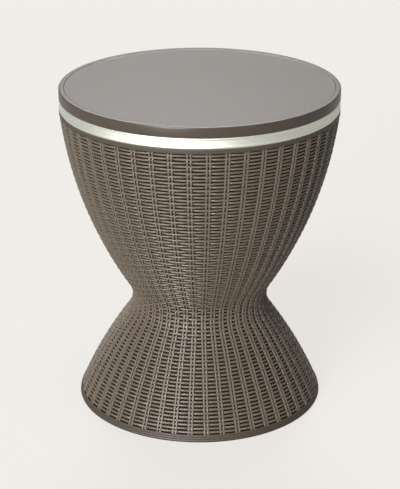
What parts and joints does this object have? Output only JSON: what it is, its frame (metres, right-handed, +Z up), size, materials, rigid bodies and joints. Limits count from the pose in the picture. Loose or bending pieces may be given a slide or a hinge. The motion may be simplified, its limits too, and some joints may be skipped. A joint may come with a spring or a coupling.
{
  "type": "cooler table with lid",
  "caption": "Round side table with a cooler tub inside: woven-look bowl on a flared base, silver rim band and a flat lid that rises and locks on a telescopic pole.",
  "frame": {"origin": "on the floor under the middle of the table", "axes": "+Z up along the pole, -Y towards the viewer, +X to the right"},
  "size_m": [0.487, 0.487, 0.58],
  "materials": {
    "woven_shell": "moulded rattan weave, satin",
    "lid_plastic": "fine moulded texture, satin",
    "silver_band": "satin silver",
    "tub_plastic": "smooth satin",
    "foam": "open-grained foam",
    "fitting_plastic": "satin",
    "seal_rubber": "matte",
    "sleeve_steel": "powder coat",
    "pole_aluminium": "satin anodised",
    "screw_steel": "zinc plated"
  },
  "bodies": {
    "table_body": {"base_shell": "woven_shell", "base_flange": "woven_shell", "bowl_shell": "woven_shell", "waist_plate": "fitting_plastic", "waist_screws": "screw_steel", "rim_band": "silver_band", "tub_liner": "tub_plastic", "tub_floor": "tub_plastic", "tub_boss": "tub_plastic", "tub_insulation": "foam", "drain_fitting": "fitting_plastic", "drain_gasket": "seal_rubber", "drain_nut": "fitting_plastic", "pole_sleeve": "sleeve_steel", "sleeve_flange": "sleeve_steel", "sleeve_screws": "screw_steel", "sleeve_end_cap": "fitting_plastic", "top_bush": "fitting_plastic", "pole_wiper": "seal_rubber"},
    "glide": {"glide_bush": "fitting_plastic"},
    "tabletop": {"inner_pole": "pole_aluminium", "pole_foot": "fitting_plastic", "foot_washer": "screw_steel", "foot_screw": "screw_steel", "lock_pin": "screw_steel", "pole_hub": "fitting_plastic", "hub_pin": "screw_steel", "hub_screws": "screw_steel", "lid_top": "lid_plastic", "lid_underside": "lid_plastic", "lid_foam": "foam", "lid_seal": "seal_rubber", "lid_screws": "screw_steel"},
    "plug": {"drain_plug": "fitting_plastic", "drain_plug_seal": "seal_rubber"}
  },
  "joints": [
    {"name": "tabletop_lift", "type": "slide", "parent": "table_body", "child": "glide", "axis": [0, 0, 1], "range_m": [0, 0.27]},
    {"name": "tabletop_twist", "type": "hinge", "parent": "glide", "child": "tabletop", "pos_m": [0, 0, 0.1156], "axis": [0, 0, 1], "range_deg": [0, 35]},
    {"name": "drain_plug_pull", "type": "slide", "parent": "table_body", "child": "plug", "axis": [0, 0, 1], "range_m": [0, 0.06]}
  ]
}
